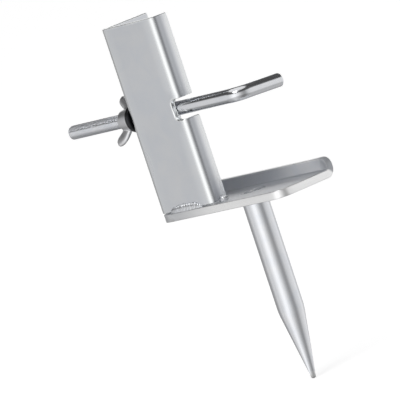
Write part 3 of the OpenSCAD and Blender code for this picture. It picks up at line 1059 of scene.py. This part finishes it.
bolt_path = [on_hook(x, 0) for x in
             [bolt_low.x] + steps_between(bolt_low.x, thread_end, thread_spacing) + [thread_end]
             + steps_between(thread_end, hook_x - hook_bend, shank_spacing)]
for number in range(0, 90 + bend_degrees, bend_degrees):
    angle = math.radians(number)
    bolt_path.append(on_hook(hook_x - hook_bend * (1 - math.sin(angle)), hook_bend * (1 - math.cos(angle))))
bolt_path += [on_hook(hook_x, out) for out in
              steps_between(hook_bend, hook_reach, hook_spacing)
              + [hook_reach - end_chamfer, hook_reach - end_chamfer / 2, hook_reach]]
run = [0.0]
for before, after in zip(bolt_path, bolt_path[1:]):
    run.append(run[-1] + (after - before).length)
bolt = grow("hook_bolt_rod", bolt_tree, bolt_path,
            {"Axis": (bolt_low.x, bolt_y, bolt_z), "Pitch": thread_pitch, "Crest": thread_crest,
             "Root": thread_root, "Radius": bolt_radius, "End Radius": bolt_radius - end_chamfer},
            {"thread": [max(0.0, min(1.0, (thread_length - s) / thread_runout)) for s in run],
             "from_end": [min(s, run[-1] - s) for s in run]})
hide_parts("hook_bolt")
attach(bolt, "hook")

# Washer. Stamped from thick sheet, rolled over on the punched side and sharp on the
# other. Its colour is near black.
washer_outer = (washer_high.z - washer_low.z) / 2
washer_bore = 4.2 * mm
washer_thick = washer_high.x - washer_low.x
roll_over = 0.35 * mm
roll_steps = 3

washer_profile = [(washer_bore, 0.15 * mm, 0.3), (washer_bore + 0.15 * mm, 0, 0.8),
                  (washer_outer - 0.2 * mm, 0, 0.8), (washer_outer, 0.15 * mm, 1.0)]
for sine, cosine in quarter_arc(roll_steps):
    washer_profile.append((washer_outer - roll_over * (1 - cosine),
                           washer_thick - roll_over * (1 - sine), 0.8))
washer_profile.append((washer_outer - 1.5 * mm, washer_thick, 0.0))
washer_profile.append((washer_bore + roll_over + 1 * mm, washer_thick, 0.0))
for sine, cosine in quarter_arc(roll_steps):
    washer_profile.append((washer_bore + roll_over * (1 - sine),
                           washer_thick - roll_over * (1 - cosine), 0.6))
washer_steel = plated_steel("black_washer", (0.045, 0.046, 0.050), 0.38, cloud_size=5 * mm, scratches=0.8)
washer = turned("washer_ring", washer_profile, washer_steel, beside_bolt(washer_high.x), closed=True)
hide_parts("washer")
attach(washer, "washer")

# Wing nut. Forged in one piece: a tapered hub with two rounded wings, its edges
# and roots soft from the die. The bore is countersunk at both ends.
nut_hub = 9.0 * mm
seat_radius = 7.0 * mm
top_radius = 5.75 * mm
wing_turn = math.radians(28)
wing_tip = Vector((11.0, 10.0)) * mm
tip_round = 3.95 * mm
wing_root = Vector((3.2, 4.9)) * mm
wing_bow = Vector((8.2, 5.6)) * mm
voxel = 0.27 * mm
nut_bore = 4.06 * mm
countersink = 0.7 * mm
# A wing is a row of rings along a bow from root to tip. They are waisted between, get
# thinner outwards, and close over the last stretch to a round end.
wing_rings = 26
wing_sides = 28
bow_end = 0.96
turn_gain = 1.5
root_width = 3.7 * mm
widen_gain = 1.25
waist = 0.9 * mm
root_thick = 1.75 * mm
thin_down = 0.45 * mm
cap_start = 0.62
cap_push = 0.9
cap_power = 2.2
cap_thin = 0.35
last_thin = 0.1
corner_power = 0.75
least_half = 0.05 * mm
grown_by = 0.12 * mm

nut_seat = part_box("wing_nut")[1].x
from_nut = beside_bolt(nut_seat, wing_turn)
nut_steel = plated_steel("plated_nut", (0.78, 0.79, 0.82), 0.32, bump=22e-6, cloud_size=5 * mm)
nut_build = bmesh.new()
hub = turned("nut_hub", [
    (0, 0, 0), (seat_radius - 0.5 * mm, 0, 0), (seat_radius, 0.45 * mm, 0),
    (seat_radius - 0.15 * mm, 1.8 * mm, 0), (top_radius + 0.2 * mm, nut_hub - 0.8 * mm, 0),
    (top_radius - 0.6 * mm, nut_hub, 0), (0, nut_hub, 0)], nut_steel, from_nut, segments=64)
nut_build.from_mesh(hub.data)
bpy.data.objects.remove(hub)
for side in (1, -1):
    ring_vertices = []
    for number in range(wing_rings + 1):
        share = number / wing_rings
        bow = min(1.0, share / bow_end)
        a = wing_root.lerp(wing_bow, bow)
        b = wing_bow.lerp(wing_tip, bow)
        centre = a.lerp(b, bow)
        ahead = (b - a).normalized()
        blend = min(1.0, share * turn_gain)
        across = Vector((0, 1)).lerp(Vector((-ahead.y, ahead.x)), blend).normalized()
        half_width = root_width + (tip_round - root_width) * min(1.0, share * widen_gain)
        half_width -= waist * math.sin(share * math.pi)
        half_thick = root_thick - thin_down * share
        cap = max(0.0, (share - cap_start) / (1 - cap_start))
        centre = centre + ahead * (tip_round * cap_push * cap)
        close = math.sqrt(max(0.0, 1 - cap ** cap_power))
        half_width = max(least_half, half_width * close) + grown_by
        half_thick *= (cap_thin + (1 - cap_thin) * close) * (1 if close > 0 else last_thin)
        half_thick = max(least_half, half_thick) + grown_by
        ring_now = []
        for step in range(wing_sides):
            angle = step / wing_sides * 2 * math.pi
            wide = math.copysign(abs(math.cos(angle)) ** corner_power, math.cos(angle)) * half_width
            thick = math.copysign(abs(math.sin(angle)) ** corner_power, math.sin(angle)) * half_thick
            spot = centre + across * wide
            ring_now.append(nut_build.verts.new(from_nut(side * spot.x, side * thick, spot.y)))
        ring_vertices.append(ring_now)
    for low, high in zip(ring_vertices, ring_vertices[1:]):
        for step in range(wing_sides):
            following = (step + 1) % wing_sides
            nut_build.faces.new((low[step], low[following], high[following], high[step]))
    nut_build.faces.new(ring_vertices[0])
    nut_build.faces.new(ring_vertices[-1])
bmesh.ops.recalc_face_normals(nut_build, faces=nut_build.faces)
nut_mesh = bpy.data.meshes.new("wing_nut_forged")
nut_build.to_mesh(nut_mesh)
nut_build.free()
nut = make_object("wing_nut_forged", nut_mesh, nut_steel)
fuse = nut.modifiers.new("fuse", "REMESH")
fuse.mode = "VOXEL"
fuse.voxel_size = voxel
soften = nut.modifiers.new("soften", "SMOOTH")
soften.factor = 0.5
soften.iterations = 9
nut.data = applied(nut)
for vertex in nut.data.vertices:
    vertex.co.x = min(vertex.co.x, nut_seat)
cut_out(nut, turned("nut_drill", [
    (0, -clear, 0), (nut_bore + countersink + clear, -clear, 0), (nut_bore, countersink, 0),
    (nut_bore, nut_hub - countersink, 0), (nut_bore + countersink + clear, nut_hub + clear, 0),
    (0, nut_hub + clear, 0)], nut_steel, from_nut, segments=72))
nut.data.materials.clear()
nut.data.materials.append(nut_steel)
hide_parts("wing_nut")
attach(nut, "nut")
